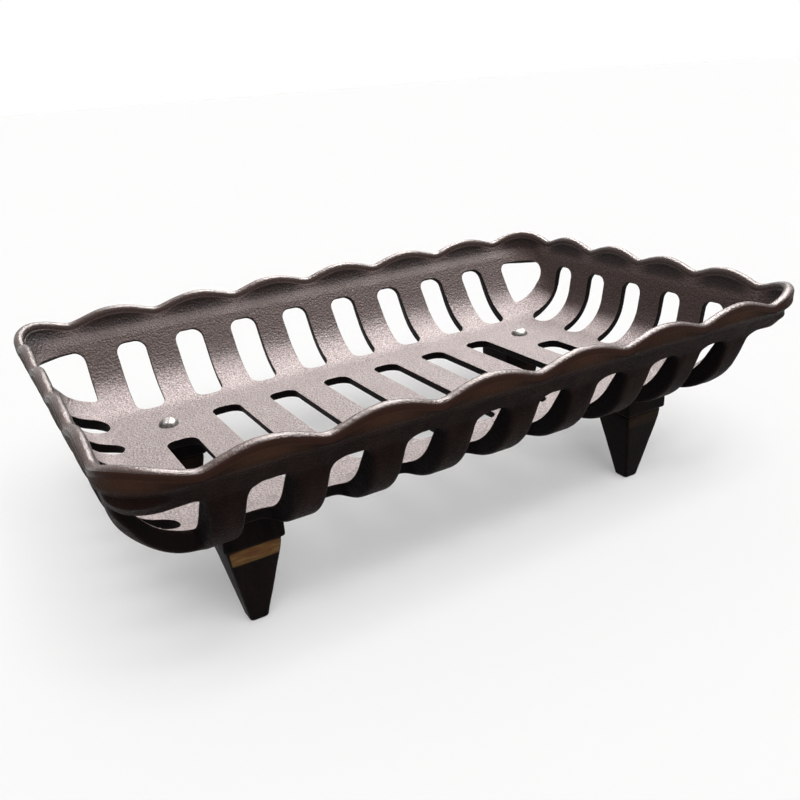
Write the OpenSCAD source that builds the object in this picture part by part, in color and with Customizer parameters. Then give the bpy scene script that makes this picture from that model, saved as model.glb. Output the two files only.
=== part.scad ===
// Cast-iron log grate: a slotted basket with a scalloped rim on four screwed-on tapered legs.
// Millimetres, +Z up, origin on the ground under the basket's centre, front along -Y.

/* [Basket] */
// Overall length of the basket over its rim bead
basket_l = 610; // [560:1:760]
// Overall width of the basket over its rim bead
basket_w = 406; // [390:1:560]
// Height of the rim's valleys above the basket's inner floor
rim_h = 81; // [80:0.1:100]
// Thickness of the casting in its floor and walls
iron_t = 9; // [6:0.5:11]
// Corner radius of the rim in plan, along the middle of its bead
rim_corner_r = 40; // [30:1:50]
// Corner radius of the basket's floor and lower walls, inside
floor_corner_r = 40; // [24:1:44]

/* [Walls] */
// Slope of the long walls from the floor, in degrees
side_slope = 58; // [50:1:70]
// Radius between the floor and a long wall, inside
side_bend_r = 66.5; // [50:0.5:70]
// Slope of the end walls from the floor, in degrees
end_slope = 80; // [70:1:84]
// Radius between the floor and an end wall, inside
end_bend_r = 40; // [30:0.5:46]

/* [Rim] */
// Diameter of the round bead along the rim
bead_d = 10; // [8:0.5:12]
// Rise of each scallop's crest above the valleys
scallop_rise = 8.6; // [4:0.1:12]
// Distance along each side from the rim's square corner to the valley beside it
corner_reach = 49.4; // [48:0.1:60]
// Scallops along each long side, between the corner scallops
side_scallops = 6; // [4:1:8]
// Scallops along each end, between the corner scallops
end_scallops = 4; // [2:1:6]
// Height above the inner floor at which the plain walls end and the rim band starts
band_h = 60; // [58:0.5:64]
// Distance by which a long side's bead stands out from the wall's inner face at the band's foot
side_flare = 18.7; // [14:0.1:24]
// Distance by which an end's bead stands out from the wall's inner face at the band's foot
end_flare = 9.8; // [8:0.1:14]
// Thickness that the band's outer face adds to the wall
fascia_t = 2.4; // [1:0.1:4]

/* [Slots] */
// Slots along each long wall, and in the floor's middle row
side_slots = 8; // [6:2:8]
// Spacing of the slots along the basket
side_slot_pitch = 57.8; // [54:0.1:60]
// Width of the slots in the long walls
side_slot_w = 27.5; // [18:0.5:30]
// Width of the slots in the floor
floor_slot_w = 26.5; // [18:0.5:30]
// Slots in each end wall
end_slots = 5; // [3:2:5]
// Spacing of the slots in an end wall
end_slot_pitch = 54; // [50:0.5:56]
// Width of the slots in an end wall
end_slot_w = 25; // [16:0.5:28]
// Height of the wall slots' tops above the inner floor
slot_top_h = 56; // [46:0.5:57]
// Distance up a long wall's inner face from the foot of its bend to its slots
side_slot_foot = 21; // [10:0.5:30]
// Distance up an end wall's inner face from the foot of its bend to its slots
end_slot_foot = 1; // [-4:0.5:20]
// Width of the solid band between the floor slots and the long walls' slots
floor_band = 34.5; // [20:0.5:50]
// Length of the first and last floor slots, which leave room for the leg screws
short_slot_l = 81; // [40:1:100]
// Corner radius at the ends of the side and floor slots
slot_corner_r = 9.5; // [4:0.5:12.5]
// Width of the bar between an end wall's last slot and the opening in the corner
end_corner_bar = 25; // [20:0.5:32]
// Radius of the lower tip of the opening in a corner, seen from above
corner_tip_r = 3.5; // [1:0.5:9]
// Radius of the upper corner that the opening in a corner has in the end wall
corner_top_r = 20; // [9.5:0.5:24]
// Widening of a slot on each side from the inner face to the outer face, so that ash falls free
slot_flare = 2.5; // [0:0.25:5]
// Rise of the ribs on the backs of the long walls' bars, which the lower corners' rise follows
rib_rise = 6; // [1:0.5:8]

/* [Legs] */
// Height of the legs, from the ground to the basket's underside
leg_h = 97.5; // [80:0.5:140]
// Distance from the basket's middle to the legs' middle, lengthwise
leg_x = 197.5; // [190:0.5:205]
// Distance from the basket's middle to the legs' middle, crosswise
leg_y = 91.5; // [90:0.5:96]
// Length of the block at the top of a leg, along the basket
block_l = 48; // [44:0.5:56]
// Width of the block at the top of a leg, across the basket
block_w = 48; // [42:0.5:52]
// Height of the block at the top of a leg
block_h = 23; // [18:0.5:32]
// Step from the block's sides in to the shank, and radius of the block's lower edges
block_step = 2.5; // [0.5:0.25:3.5]
// Height of the short steep neck between the block and the taper
neck_h = 14.5; // [8:0.5:18]
// Width of the foot at the ground, before its edges are rounded
foot_w = 16; // [10:0.5:20]
// Radius of the leg's upright edges
leg_edge_r = 2; // [1:0.25:3]
// Radius of the foot's lower edges
foot_edge_r = 3.5; // [2:0.25:5]

/* [Screws] */
// Distance from the basket's middle to the screws, lengthwise
screw_x = 200.5; // [196:0.5:204]
// Distance from the basket's middle to the screws, crosswise
screw_y = 80.6; // [80:0.1:84]
// Diameter of the screws' shanks
screw_d = 8; // [6:0.5:10]
// Length of a screw under its head
screw_l = 28; // [22:1:32]
// Diameter of the screws' round heads
head_d = 18; // [15:0.5:20]
// Height of the screws' round heads
head_h = 6; // [4:0.5:8]
// Width of the driver slot across a screw's head
driver_slot_w = 1.8; // [1:0.1:3]
// Depth of the driver slot
driver_slot_depth = 2; // [1:0.1:3]
// Clearance all round a screw in the basket's hole
hole_clearance = 0.3; // [0.1:0.05:1]
// Clearance all round a screw in the leg's hole, where the threads meet
thread_clearance = 0.05; // [0.02:0.01:0.1]
// Room below a screw's end in the leg's blind hole
hole_spare = 3; // [1:0.5:6]

/* [Hidden] */

iron_colour = "#4a4240";
leg_colour = "#2b2627";
screw_colour = "#c8c8ca";

// Round shapes that carry over as true arcs, and the finer parts of the lofted shell
$fn = 64;
bend_steps = 8;      // rows of the loft around each bend
corner_steps = 10;   // steps of the loft around each corner of the lower walls
scallop_steps = 8;   // steps of the rim along a straight scallop
corner_scallop_steps = 16; // steps of the rim along a corner scallop

slot_corner_steps = 3; // steps around each corner of a slot
slot_side_steps = 5; // steps along each side of a slot
rib_steps = 6; // steps along each bar's rib
rib_sink = 4; // how deep the ribs start inside the walls
rib_skew = 1.25; // where the ribs are deepest, above the middle of the bars when over 1
rib_round = 0.7; // how full the ribs are towards their ends
rib_margin = 1; // how far the ribs' ends lie inside the walls' outer faces
corner_rise = 1.3; // rise of the iron around the lower corners, as a share of the ribs' rise
over = 60;   // how far a corner opening's cutter reaches past the walls
cutter_reach = 2; // how far a slot's cutter passes the thickest iron
cutter_rise = 8; // how far a slot's cutter stands above the iron, as the corners curve up into it
slot_tip_flat = 0.5; // half the flat that is left at the round foot of an end wall's slot
bead_gap = 0.4; // how far below and inside the bead the walls' inner faces meet it
fascia_foot = 9; // height of the fascia's lower edge above the foot of the rim band
step_h = 1.6; // height of the sloping step from the walls' outer faces to the fascia
fascia_bulge = 0.3; // how much the fascia bulges under the scallops' crests
neck_taper = 0.75; // how fast the legs' necks narrow, as a share of an even taper
leg_edge_steps = 16; // steps around a leg's upright edges, full circle
leg_end_steps = 3; // steps around a leg's lower edges
slice_h = 0.2; // height of the thin slices that a leg's shape is drawn between
valley_round = 0.2; // how much the valleys between scallops are rounded, as a share of the rise

floor_z = leg_h + iron_t;   // inner floor of the basket
bead_r = bead_d / 2;
rim_x = basket_l / 2 - bead_r;   // middle of the bead on the ends
rim_y = basket_w / 2 - bead_r;   // middle of the bead on the long sides
valley_z = rim_h - bead_r;       // middle of the bead at the valleys, above the inner floor

// Inner faces of the walls where the rim band starts
band_x = rim_x - end_flare;
band_y = rim_y - side_flare;

// Horizontal run of a wall from the foot of its bend to the foot of the rim band
function wall_run(slope, bend_r) =
    bend_r * sin(slope) + (band_h - bend_r * (1 - cos(slope))) / tan(slope);
floor_x = band_x - wall_run(end_slope, end_bend_r);
floor_y = band_y - wall_run(side_slope, side_bend_r);

// A loop of the loft is [half length, half width, corner radius, end wall z, long wall z]
corner_slope = (side_slope + end_slope) / 2;
function bend_loop(t, depth) = let (
        e = end_slope * t,
        s = side_slope * t,
        c = corner_slope * t)
    [floor_x + (end_bend_r + depth) * sin(e),
     floor_y + (side_bend_r + depth) * sin(s),
     floor_corner_r + depth * sin(c),
     end_bend_r - (end_bend_r + depth) * cos(e),
     side_bend_r - (side_bend_r + depth) * cos(s)];

// Signs of the four quadrants, in the loops' order
QUADRANT_X = [1, -1, -1, 1];
QUADRANT_Y = [1, 1, -1, -1];

// The points of the loop at a share of the bend, anticlockwise from above. The swell goes to the
// corners, on the side of the long walls.
function loop_points(t, depth, swell) = [
    for (k = [0:3])
        for (i = [0:corner_steps])
            let (angle = 90 * (k + i / corner_steps),
                 share = pow(sin(angle), 2),
                 corner = share * sqrt(abs(sin(2 * angle))),
                 loop = bend_loop(t, depth + swell * corner * sin(180 * pow(t, rib_skew))),
                 r = loop[2])
            [QUADRANT_X[k] * (loop[0] - r) + r * cos(angle),
             QUADRANT_Y[k] * (loop[1] - r) + r * sin(angle),
             loop[3] + (loop[4] - loop[3]) * share]];
loop_count = 4 * (corner_steps + 1);

// Scallop lengths, from the rim's size and its corners
side_scallop_l = scallop_length(rim_x, side_scallops);
end_scallop_l = scallop_length(rim_y, end_scallops);
// A corner scallop takes its corner and an even share of the straight on each side of it
function scallop_length(half, count) = 2 * (half - corner_reach) / count;
end_valley = end_scallops / 2 * end_scallop_l;
side_valley = side_scallops / 2 * side_scallop_l;

// The first quadrant of the rim runs from the middle of an end to the middle of a long side
end_steps = scallop_steps * end_scallops / 2;
side_steps = scallop_steps * side_scallops / 2;
quadrant_steps = end_steps + corner_scallop_steps + side_steps;
corner_run = rim_y - rim_corner_r - end_valley;
corner_arc = rim_corner_r * PI / 2;
corner_run_side = rim_x - rim_corner_r - side_valley;
corner_length = corner_run + corner_arc + corner_run_side;

// A place on the rim is [x, y, direction outward, scallop phase from valley to valley]
function rim_place(i) =
    i < end_steps
        ? [rim_x, i / scallop_steps * end_scallop_l, 0, i / scallop_steps]
        : i > end_steps + corner_scallop_steps
            ? [(quadrant_steps - i) / scallop_steps * side_scallop_l, rim_y, 90,
               (quadrant_steps - i) / scallop_steps]
            : corner_place((i - end_steps) / corner_scallop_steps);
function corner_place(phase) = let (
        s = phase * corner_length,
        turn = min(max((s - corner_run) / corner_arc, 0), 1) * 90)
    [rim_x - rim_corner_r + rim_corner_r * cos(turn) - max(s - corner_run - corner_arc, 0),
     rim_y - rim_corner_r + rim_corner_r * sin(turn) - max(corner_run - s, 0),
     turn,
     phase];

// Height of a scallop at a phase, from 0 in a valley to 1 at the crest
function crest(phase) = let (soft = pow(valley_round, 2))
    (sqrt(pow(sin(180 * phase), 2) + soft) - valley_round) / (sqrt(1 + soft) - valley_round);

// The band's section at one place, as [outward from the bead's middle, height above the floor]
function band_section(flare, slope, lift) = let (
        bead_z = valley_z + scallop_rise * lift,
        wall_out = [iron_t * sin(slope) - flare, band_h - iron_t * cos(slope)],
        wall_low = [-bead_r - bead_gap, valley_z - bead_r + bead_gap],
        fascia_low = band_h + fascia_foot,
        step_z = fascia_low - step_h,
        step = [wall_out[0] + (step_z - wall_out[1]) / tan(slope), step_z],
        edge = [step[0] + fascia_t, fascia_low])
    concat(
        [[-flare, band_h], wall_low],
        [for (angle = [200, 165, 130, 95, 60, 25, -15])
            [bead_r * cos(angle), bead_z + bead_r * sin(angle)]],
        [[(bead_r + edge[0]) / 2 + (bead_r - edge[0]) * fascia_bulge * lift,
          (bead_z + fascia_low) / 2],
         edge, step, wall_out]);
band_rows = 13;

// The rim's places all the way round, with the second and fourth quadrants mirrored
rim_count = 4 * quadrant_steps;
function local_step(i) = let (k = floor(i / quadrant_steps), l = i % quadrant_steps)
    k % 2 == 0 ? l : quadrant_steps - l;
function band_column(i) = let (
        k = floor(i / quadrant_steps),
        place = rim_place(local_step(i)),
        share = pow(sin(place[2]), 2),
        section = band_section(end_flare + (side_flare - end_flare) * share,
                               end_slope + (side_slope - end_slope) * share,
                               crest(place[3])))
    [for (p = section)
        [QUADRANT_X[k] * (place[0] + p[0] * cos(place[2])),
         QUADRANT_Y[k] * (place[1] + p[0] * sin(place[2])),
         p[1]]];

// The lower loops' point that each place on the rim is nearest to
function nearest_corner_step(i) = let (
        k = floor(i / quadrant_steps),
        step = round(rim_place(local_step(i))[2] / 90 * corner_steps))
    k * (corner_steps + 1) + (k % 2 == 0 ? step : corner_steps - step);

// Triangles between two loops of the same count, numbered from a and b
function strip(a, b, count) = [
    for (i = [0:count - 1])
        let (j = (i + 1) % count)
        each [[a + i, a + j, b + j], [a + i, b + j, b + i]]];
// Triangles between a lower loop at a and a finer rim loop at b, and the same the other way up
function join_up(a, b) = [
    for (i = [0:rim_count - 1])
        let (j = (i + 1) % rim_count, p = nearest_corner_step(i), q = nearest_corner_step(j))
        each p == q ? [[a + p, b + j, b + i]] : [[a + p, a + q, b + j], [a + p, b + j, b + i]]];
function turned(faces) = [for (f = faces) [f[0], f[2], f[1]]];

module basket_shell() {
    inner = [for (i = [0:bend_steps]) loop_points(i / bend_steps, 0, 0)];
    outer = [for (i = [bend_steps:-1:0])
        loop_points(i / bend_steps, iron_t, corner_rise * rib_rise)];
    columns = [for (i = [0:rim_count - 1]) band_column(i)];
    band = [for (row = [0:band_rows - 1]) [for (i = [0:rim_count - 1]) columns[i][row]]];
    first_band = (bend_steps + 1) * loop_count;
    first_outer = first_band + band_rows * rim_count;
    last = first_outer + bend_steps * loop_count;
    points = concat([for (loop = inner) each loop],
                    [for (loop = band) each loop],
                    [for (loop = outer) each loop]);
    faces = concat(
        [for (i = [1:loop_count - 2]) [0, i + 1, i]],
        [for (k = [0:bend_steps - 1]) each strip(k * loop_count, (k + 1) * loop_count, loop_count)],
        join_up(bend_steps * loop_count, first_band),
        [for (k = [0:band_rows - 2])
            each strip(first_band + k * rim_count, first_band + (k + 1) * rim_count, rim_count)],
        turned(join_up(first_outer, first_outer - rim_count)),
        [for (k = [0:bend_steps - 1])
            each strip(first_outer + k * loop_count, first_outer + (k + 1) * loop_count, loop_count)],
        [for (i = [1:loop_count - 2]) [last, last + i, last + i + 1]]);
    translate([0, 0, floor_z])
        polyhedron(points, faces, convexity = 10);
}

// An outline with round corners, between two opposite corners
module round_box(low, high, r) {
    for (x = [low[0] + r, high[0] - r])
        for (y = [low[1] + r, high[1] - r])
            translate([x, y])
                circle(r);
    translate([low[0] + r, low[1]])
        square([high[0] - low[0] - 2 * r, high[1] - low[1]]);
    translate([low[0], low[1] + r])
        square([high[0] - low[0], high[1] - low[1] - 2 * r]);
}

// A point on a wall, as [distance out from the foot of its bend, height above the inner floor]
function wall_point(slope, bend_r, up, depth) = let (
        angle = min(max(up / bend_r * 180 / PI, 0), slope),
        rest = up - bend_r * angle * PI / 180)
    [(bend_r + depth) * sin(angle) + rest * cos(angle),
     bend_r - (bend_r + depth) * cos(angle) + rest * sin(angle)];

// Distance up a wall at which a depth into its iron comes level with the slots' tops
function slot_top(slope, bend_r, depth) =
    bend_r * slope * PI / 180 + (slot_top_h - bend_r + (bend_r + depth) * cos(slope)) / sin(slope);

// One side of a slot's outline from its foot to its top, as [half width, distance along the slot]
function slot_side(half_w, foot, top, foot_r, top_r) = let (
        low = foot + foot_r,
        high = top - top_r)
    concat(
        [for (i = [0:slot_corner_steps]) let (angle = 90 * i / slot_corner_steps)
            [half_w - foot_r + foot_r * sin(angle), low - foot_r * cos(angle)]],
        [for (i = [1:slot_side_steps - 1])
            [half_w, low + (high - low) * i / slot_side_steps]],
        [for (i = [0:slot_corner_steps]) let (angle = 90 * i / slot_corner_steps)
            [half_w - top_r + top_r * cos(angle), high + top_r * sin(angle)]]);

// Depth of the slots' cutters, past the thicker iron of the corners
cutter_depth = iron_t + corner_rise * rib_rise + cutter_reach;
// The cutter of a slot, through points up its right side at two depths, mirrored to its left side
module slot_cutter(near, far) {
    n = len(near);
    points = concat(near, [for (p = near) [p[0], -p[1], p[2]]],
                    far, [for (p = far) [p[0], -p[1], p[2]]]);
    faces = concat(
        [for (i = [0:n - 2]) each [
            [i, i + 1, n + i + 1], [i, n + i + 1, n + i],
            [2 * n + i, 3 * n + i, 3 * n + i + 1], [2 * n + i, 3 * n + i + 1, 2 * n + i + 1],
            [i, 2 * n + i, 2 * n + i + 1], [i, 2 * n + i + 1, i + 1],
            [n + i, n + i + 1, 3 * n + i + 1], [n + i, 3 * n + i + 1, 3 * n + i]]],
        [[0, n, 3 * n], [0, 3 * n, 2 * n],
         [n - 1, 3 * n - 1, 4 * n - 1], [n - 1, 4 * n - 1, 2 * n - 1]]);
    polyhedron(points, faces, convexity = 4);
}

// A slot centred on the X axis that runs up a wall facing +X, whose bend has its foot at x = edge
module wall_slot(edge, slope, bend_r, foot, w, foot_r) {
    rings = [for (depth = [-cutter_rise, cutter_depth])
        let (wider = slot_flare * depth / iron_t)
        [for (p = slot_side(w / 2 + wider, foot, slot_top(slope, bend_r, depth),
                            foot_r + wider, slot_corner_r + wider))
            let (q = wall_point(slope, bend_r, p[1], depth))
            [edge + q[0], p[0], q[1]]]];
    translate([0, 0, floor_z])
        slot_cutter(rings[0], rings[1]);
}

// Depth of a rib's back below the long wall's inner face, at a share of the way up the rib
function rib_depth(share) =
    iron_t - rib_margin + (rib_rise + rib_margin) * pow(sin(180 * pow(share, rib_skew)), rib_round);

// The rib on the back of a long wall's bar, drawn at the middle of the wall that faces +Y
module wall_rib() {
    top = slot_top(side_slope, side_bend_r, 0);
    back = [for (i = [0:rib_steps])
        wall_point(side_slope, side_bend_r, top * i / rib_steps, rib_depth(i / rib_steps))];
    front = [for (i = [rib_steps:-1:0])
        wall_point(side_slope, side_bend_r, top * i / rib_steps, rib_sink)];
    w = side_slot_pitch - side_slot_w - 2 * slot_flare * cutter_depth / iron_t;
    translate([w / 2, floor_y, floor_z])
        rotate([90, 0, -90])
            linear_extrude(w)
                mirror([1, 0])
                    polygon(concat(back, front));
}

module wall_ribs() {
    for (side = [0, 180])
        for (i = [0:side_slots])
            rotate([0, 0, side])
                translate([(i - side_slots / 2) * side_slot_pitch, 0, 0])
                    wall_rib();
}

module side_wall_slots() {
    for (side = [1, -1])
        for (i = [0:side_slots - 1])
            translate([(i - (side_slots - 1) / 2) * side_slot_pitch, 0, 0])
                rotate([0, 0, 90 * side])
                    wall_slot(floor_y, side_slope, side_bend_r, side_slot_foot, side_slot_w,
                              slot_corner_r);
}

module end_wall_slots() {
    for (side = [0, 180])
        for (i = [0:end_slots - 1])
            rotate([0, 0, side])
                translate([0, (i - (end_slots - 1) / 2) * end_slot_pitch, 0])
                    wall_slot(floor_x, end_slope, end_bend_r, end_slot_foot, end_slot_w,
                              end_slot_w / 2 - slot_tip_flat);
}

// A slot through the floor along the X axis, reaching as far to each side of the origin
module floor_slot(reach) {
    rings = [for (depth = [-cutter_rise, cutter_depth])
        let (wider = slot_flare * depth / iron_t)
        [for (p = slot_side(floor_slot_w / 2 + wider, -reach, reach,
                            slot_corner_r + wider, slot_corner_r + wider))
            [p[1], p[0], -depth]]];
    translate([0, 0, floor_z])
        slot_cutter(rings[0], rings[1]);
}

module floor_slots() {
    half = floor_y + side_slot_foot - floor_band;
    for (i = [0:side_slots - 1])
        translate([(i - (side_slots - 1) / 2) * side_slot_pitch, 0, 0])
            rotate([0, 0, 90])
                floor_slot(i == 0 || i == side_slots - 1 ? short_slot_l / 2 : half);
}

// The opening in a corner starts one bar away from the last slot of each wall
corner_slot_x = (side_slots + 1) / 2 * side_slot_pitch - side_slot_w / 2;
corner_slot_y = (end_slots - 1) / 2 * end_slot_pitch + end_slot_w / 2 + end_corner_bar;
module corner_slots() {
    deep = -iron_t - over;
    for (sx = [0, 1])
        for (sy = [0, 1])
            mirror([sx, 0, 0])
                mirror([0, sy, 0])
                    intersection() {
                        translate([0, 0, floor_z + deep])
                            linear_extrude(slot_top_h - deep + 1)
                                round_box([corner_slot_x, corner_slot_y],
                                          [rim_x + over, rim_y + over], corner_tip_r);
                        translate([0, rim_y + over, floor_z])
                            rotate([90, 0, 0])
                                linear_extrude(rim_y + over)
                                    round_box([corner_slot_x, deep],
                                              [rim_x + 2 * over, slot_top_h], slot_corner_r);
                        translate([0, 0, floor_z])
                            rotate([90, 0, 90])
                                linear_extrude(rim_x + over)
                                    round_box([corner_slot_y, deep],
                                              [rim_y + 2 * over, slot_top_h], corner_top_r);
                    }
}

module basket() {
    color(iron_colour)
        difference() {
            union() {
                basket_shell();
                wall_ribs();
            }
            side_wall_slots();
            end_wall_slots();
            floor_slots();
            corner_slots();
            for (sx = [-1, 1])
                for (sy = [-1, 1])
                    translate([sx * screw_x, sy * screw_y, floor_z - iron_t - 1])
                        cylinder(h = iron_t + 2, d = screw_d + 2 * hole_clearance);
        }
}

// The leg's block and taper, standing on the ground about its own upright axis
module leg_body() {
    neck_z = leg_h - block_h;
    taper_z = neck_z - neck_h;
    shank_l = block_l - 2 * block_step;
    shank_w = block_w - 2 * block_step;
    neck_share = neck_taper * neck_h / neck_z;
    neck_l = shank_l - (shank_l - foot_w) * neck_share;
    neck_w = shank_w - (shank_w - foot_w) * neck_share;
    hull() {
        translate([0, 0, leg_h - slice_h])
            leg_slice(block_l, block_w);
        translate([0, 0, neck_z])
            leg_end(block_l, block_w, block_step);
    }
    hull() {
        translate([0, 0, neck_z])
            leg_slice(shank_l, shank_w);
        translate([0, 0, taper_z])
            leg_slice(neck_l, neck_w);
    }
    hull() {
        translate([0, 0, taper_z])
            leg_slice(neck_l, neck_w);
        leg_end(foot_w, foot_w, foot_edge_r);
    }
}

// Thin slices that round the lower edges of a leg's block or foot
module leg_end(l, w, r) {
    for (i = [0:leg_end_steps])
        let (angle = 90 * i / leg_end_steps, inset = r * (1 - cos(angle)))
            translate([0, 0, r * (1 - sin(angle))])
                leg_slice(l - 2 * inset, w - 2 * inset);
}

// A thin level slice of the leg with round corners
module leg_slice(l, w) {
    linear_extrude(slice_h)
        for (x = [leg_edge_r - l / 2, l / 2 - leg_edge_r])
            for (y = [leg_edge_r - w / 2, w / 2 - leg_edge_r])
                translate([x, y])
                    circle(leg_edge_r, $fn = leg_edge_steps);
}

module leg(sx, sy) {
    hole_l = screw_l - iron_t + hole_spare;
    color(leg_colour)
        difference() {
            translate([sx * leg_x, sy * leg_y, 0])
                leg_body();
            translate([sx * screw_x, sy * screw_y, leg_h - hole_l])
                cylinder(h = hole_l + 1, d = screw_d + 2 * thread_clearance);
        }
}

module leg_front_left() { leg(-1, -1); }
module leg_front_right() { leg(1, -1); }
module leg_back_left() { leg(-1, 1); }
module leg_back_right() { leg(1, 1); }

// A round-headed screw that holds a leg, with its head on the basket's floor
module screw(sx, sy) {
    dome_r = (pow(head_d / 2, 2) + pow(head_h, 2)) / (2 * head_h);
    translate([sx * screw_x, sy * screw_y, floor_z])
        color(screw_colour)
            difference() {
                union() {
                    translate([0, 0, -screw_l])
                        cylinder(h = screw_l, d = screw_d);
                    intersection() {
                        translate([0, 0, head_h - dome_r])
                            sphere(dome_r);
                        cylinder(h = head_h, d = head_d);
                    }
                }
                translate([-head_d / 2, -driver_slot_w / 2, head_h - driver_slot_depth])
                    cube([head_d, driver_slot_w, driver_slot_depth + 1]);
            }
}

module screw_front_left() { screw(-1, -1); }
module screw_front_right() { screw(1, -1); }
module screw_back_left() { screw(-1, 1); }
module screw_back_right() { screw(1, 1); }

basket();
leg_front_left();
leg_front_right();
leg_back_left();
leg_back_right();
screw_front_left();
screw_front_right();
screw_back_left();
screw_back_right();
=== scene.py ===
import math

import bmesh
import bpy
import numpy as np
from mathutils import Matrix, Vector, noise
from mathutils.geometry import delaunay_2d_cdt


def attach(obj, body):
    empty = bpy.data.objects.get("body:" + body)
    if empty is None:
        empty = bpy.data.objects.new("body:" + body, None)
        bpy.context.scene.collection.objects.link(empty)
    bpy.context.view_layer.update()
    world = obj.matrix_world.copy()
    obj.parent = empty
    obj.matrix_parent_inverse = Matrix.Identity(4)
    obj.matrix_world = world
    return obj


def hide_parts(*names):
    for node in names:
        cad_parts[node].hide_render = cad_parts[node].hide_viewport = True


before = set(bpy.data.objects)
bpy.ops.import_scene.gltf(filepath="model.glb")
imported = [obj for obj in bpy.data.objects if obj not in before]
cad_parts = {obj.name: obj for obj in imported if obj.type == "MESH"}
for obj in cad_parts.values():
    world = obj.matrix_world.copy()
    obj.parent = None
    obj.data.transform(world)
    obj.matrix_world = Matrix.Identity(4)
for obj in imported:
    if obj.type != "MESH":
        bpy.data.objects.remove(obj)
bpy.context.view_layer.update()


MM = 0.001

# -------- sizes of the basket, in mm
FLOOR_Z, IRON_T = 106.5, 9.0
# The bead's middle line and section, and the rim band under it
RIM_X, RIM_Y, RIM_R = 300.0, 198.0, 40.0
BEAD_R, VALLEY_Z, SCALLOP_RISE = 5.0, 76.0, 8.6
BAND_H, FASCIA_T = 60.0, 2.4
END_FLARE, SIDE_FLARE = 9.8, 18.7
# The scallops in one quadrant, and how far a corner's own scallop reaches from the rim's corner
END_SCALLOPS, SIDE_SCALLOPS, CORNER_REACH = 2, 3, 49.4
# The walls and the floor's corners
END_SLOPE, SIDE_SLOPE = math.radians(80), math.radians(58)
END_R, SIDE_R, CORNER_R = 40.0, 66.5, 40.0
# Slots in one quadrant, with their places, widths and ends
SIDE_SLOTS, END_SLOTS = 4, 3
PITCH, SLOT_W, FLOOR_SLOT_W = 57.8, 27.5, 26.5
END_PITCH, END_SLOT_W = 54.0, 25.0
SLOT_TOP, SLOT_CORNER_R = 56.0, 9.5
SIDE_FOOT, END_FOOT = 21.0, 1.0
END_FOOT_R = END_SLOT_W / 2 - 0.5
SHORT_SLOT, FLOOR_BAND = 81.0, 34.5
# The corner openings and the screw holes
END_CORNER_BAR, CORNER_TIP_R, CORNER_TOP_R = 25.0, 3.5, 20.0
SCREW_X, SCREW_Y, HOLE_R = 200.5, 80.6, 4.3
# Ribs on the backs of the long walls' bars, and the corners' swelling as a share of their height
RIB_RISE, RIB_SUNK, RIB_LEAN, RIB_FULL = 6.0, 1.0, 1.25, 0.7
RIB_TOP_HALF, RIB_FOOT_HALF = 8.0, 19.0
RIB_FADE_FROM, RIB_FADE_TO = 236.0, 262.0
CORNER_RISE = 1.3


def wall_run(slope, bend_r):
    """Run of a wall's inner face, from its foot on the floor to the foot of the rim band."""
    return bend_r * math.sin(slope) + (BAND_H - bend_r * (1 - math.cos(slope))) / math.tan(slope)


FLOOR_X = RIM_X - END_FLARE - wall_run(END_SLOPE, END_R)
FLOOR_Y = RIM_Y - SIDE_FLARE - wall_run(SIDE_SLOPE, SIDE_R)


def straight_length(slope, bend_r, height):
    """Length of a wall's straight part, up to a height above the floor."""
    return (height - bend_r * (1 - math.cos(slope))) / math.sin(slope)


END_BEND_L, SIDE_BEND_L = END_R * END_SLOPE, SIDE_R * SIDE_SLOPE
END_STRAIGHT = straight_length(END_SLOPE, END_R, BAND_H)
SIDE_STRAIGHT = straight_length(SIDE_SLOPE, SIDE_R, BAND_H)
END_TOP = END_BEND_L + straight_length(END_SLOPE, END_R, SLOT_TOP)
SIDE_TOP = SIDE_BEND_L + straight_length(SIDE_SLOPE, SIDE_R, SLOT_TOP)


# -------- the basket's inner face
# A flat map holds the floor as it is and the walls unrolled round it. t runs from 0 at the foot of
# the bend to 1 at its top and 2 at the foot of the rim band.
def corner_radius(t, angle):
    """Radius of the loop at t, at an angle round its corner."""
    top = RIM_R - (END_FLARE + (SIDE_FLARE - END_FLARE) * np.sin(angle) ** 2)
    return CORNER_R + (top - CORNER_R) * np.clip(t - 1, 0, None)


def level_of(t, slope, bend_r, bend_l, straight):
    """Run, height and unrolled length of a wall at t."""
    bend, rest = np.clip(t, 0, 1), np.clip(t - 1, 0, None)
    run = bend_r * np.sin(slope * bend) + straight * math.cos(slope) * rest
    rise = bend_r * (1 - np.cos(slope * bend)) + straight * math.sin(slope) * rest
    return run, rise, bend_l * bend + straight * rest


def end_level(t):
    return level_of(t, END_SLOPE, END_R, END_BEND_L, END_STRAIGHT)


def side_level(t):
    return level_of(t, SIDE_SLOPE, SIDE_R, SIDE_BEND_L, SIDE_STRAIGHT)


def flat_corner(t):
    """Middle of the corner's arc of the loop at t, on the flat map."""
    return (FLOOR_X + end_level(t)[2] - corner_radius(t, 0.0),
            FLOOR_Y + side_level(t)[2] - corner_radius(t, math.pi / 2))


def outside(x, y, t):
    """How far a place on the flat map lies outside the loop at t."""
    cx, cy = flat_corner(t)
    dx, dy = x - cx, y - cy
    angle = np.arctan2(np.maximum(dy, 0), np.maximum(dx, 1e-9))
    round_part = np.hypot(dx, dy) - corner_radius(t, angle)
    straight = np.maximum(dx - corner_radius(t, 0.0), dy - corner_radius(t, math.pi / 2))
    return np.where((dx > 0) & (dy > 0), round_part, straight)


T_LIMIT, HALVINGS = 2.4, 34


def height_share(x, y):
    """t at each place on the flat map, 0 on the floor."""
    low, high = np.zeros_like(x), np.full_like(x, T_LIMIT)
    for _ in range(HALVINGS):
        middle = (low + high) / 2
        far = outside(x, y, middle) > 0
        low, high = np.where(far, middle, low), np.where(far, high, middle)
    return np.where(outside(x, y, np.zeros_like(x)) > 0, (low + high) / 2, 0)


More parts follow.
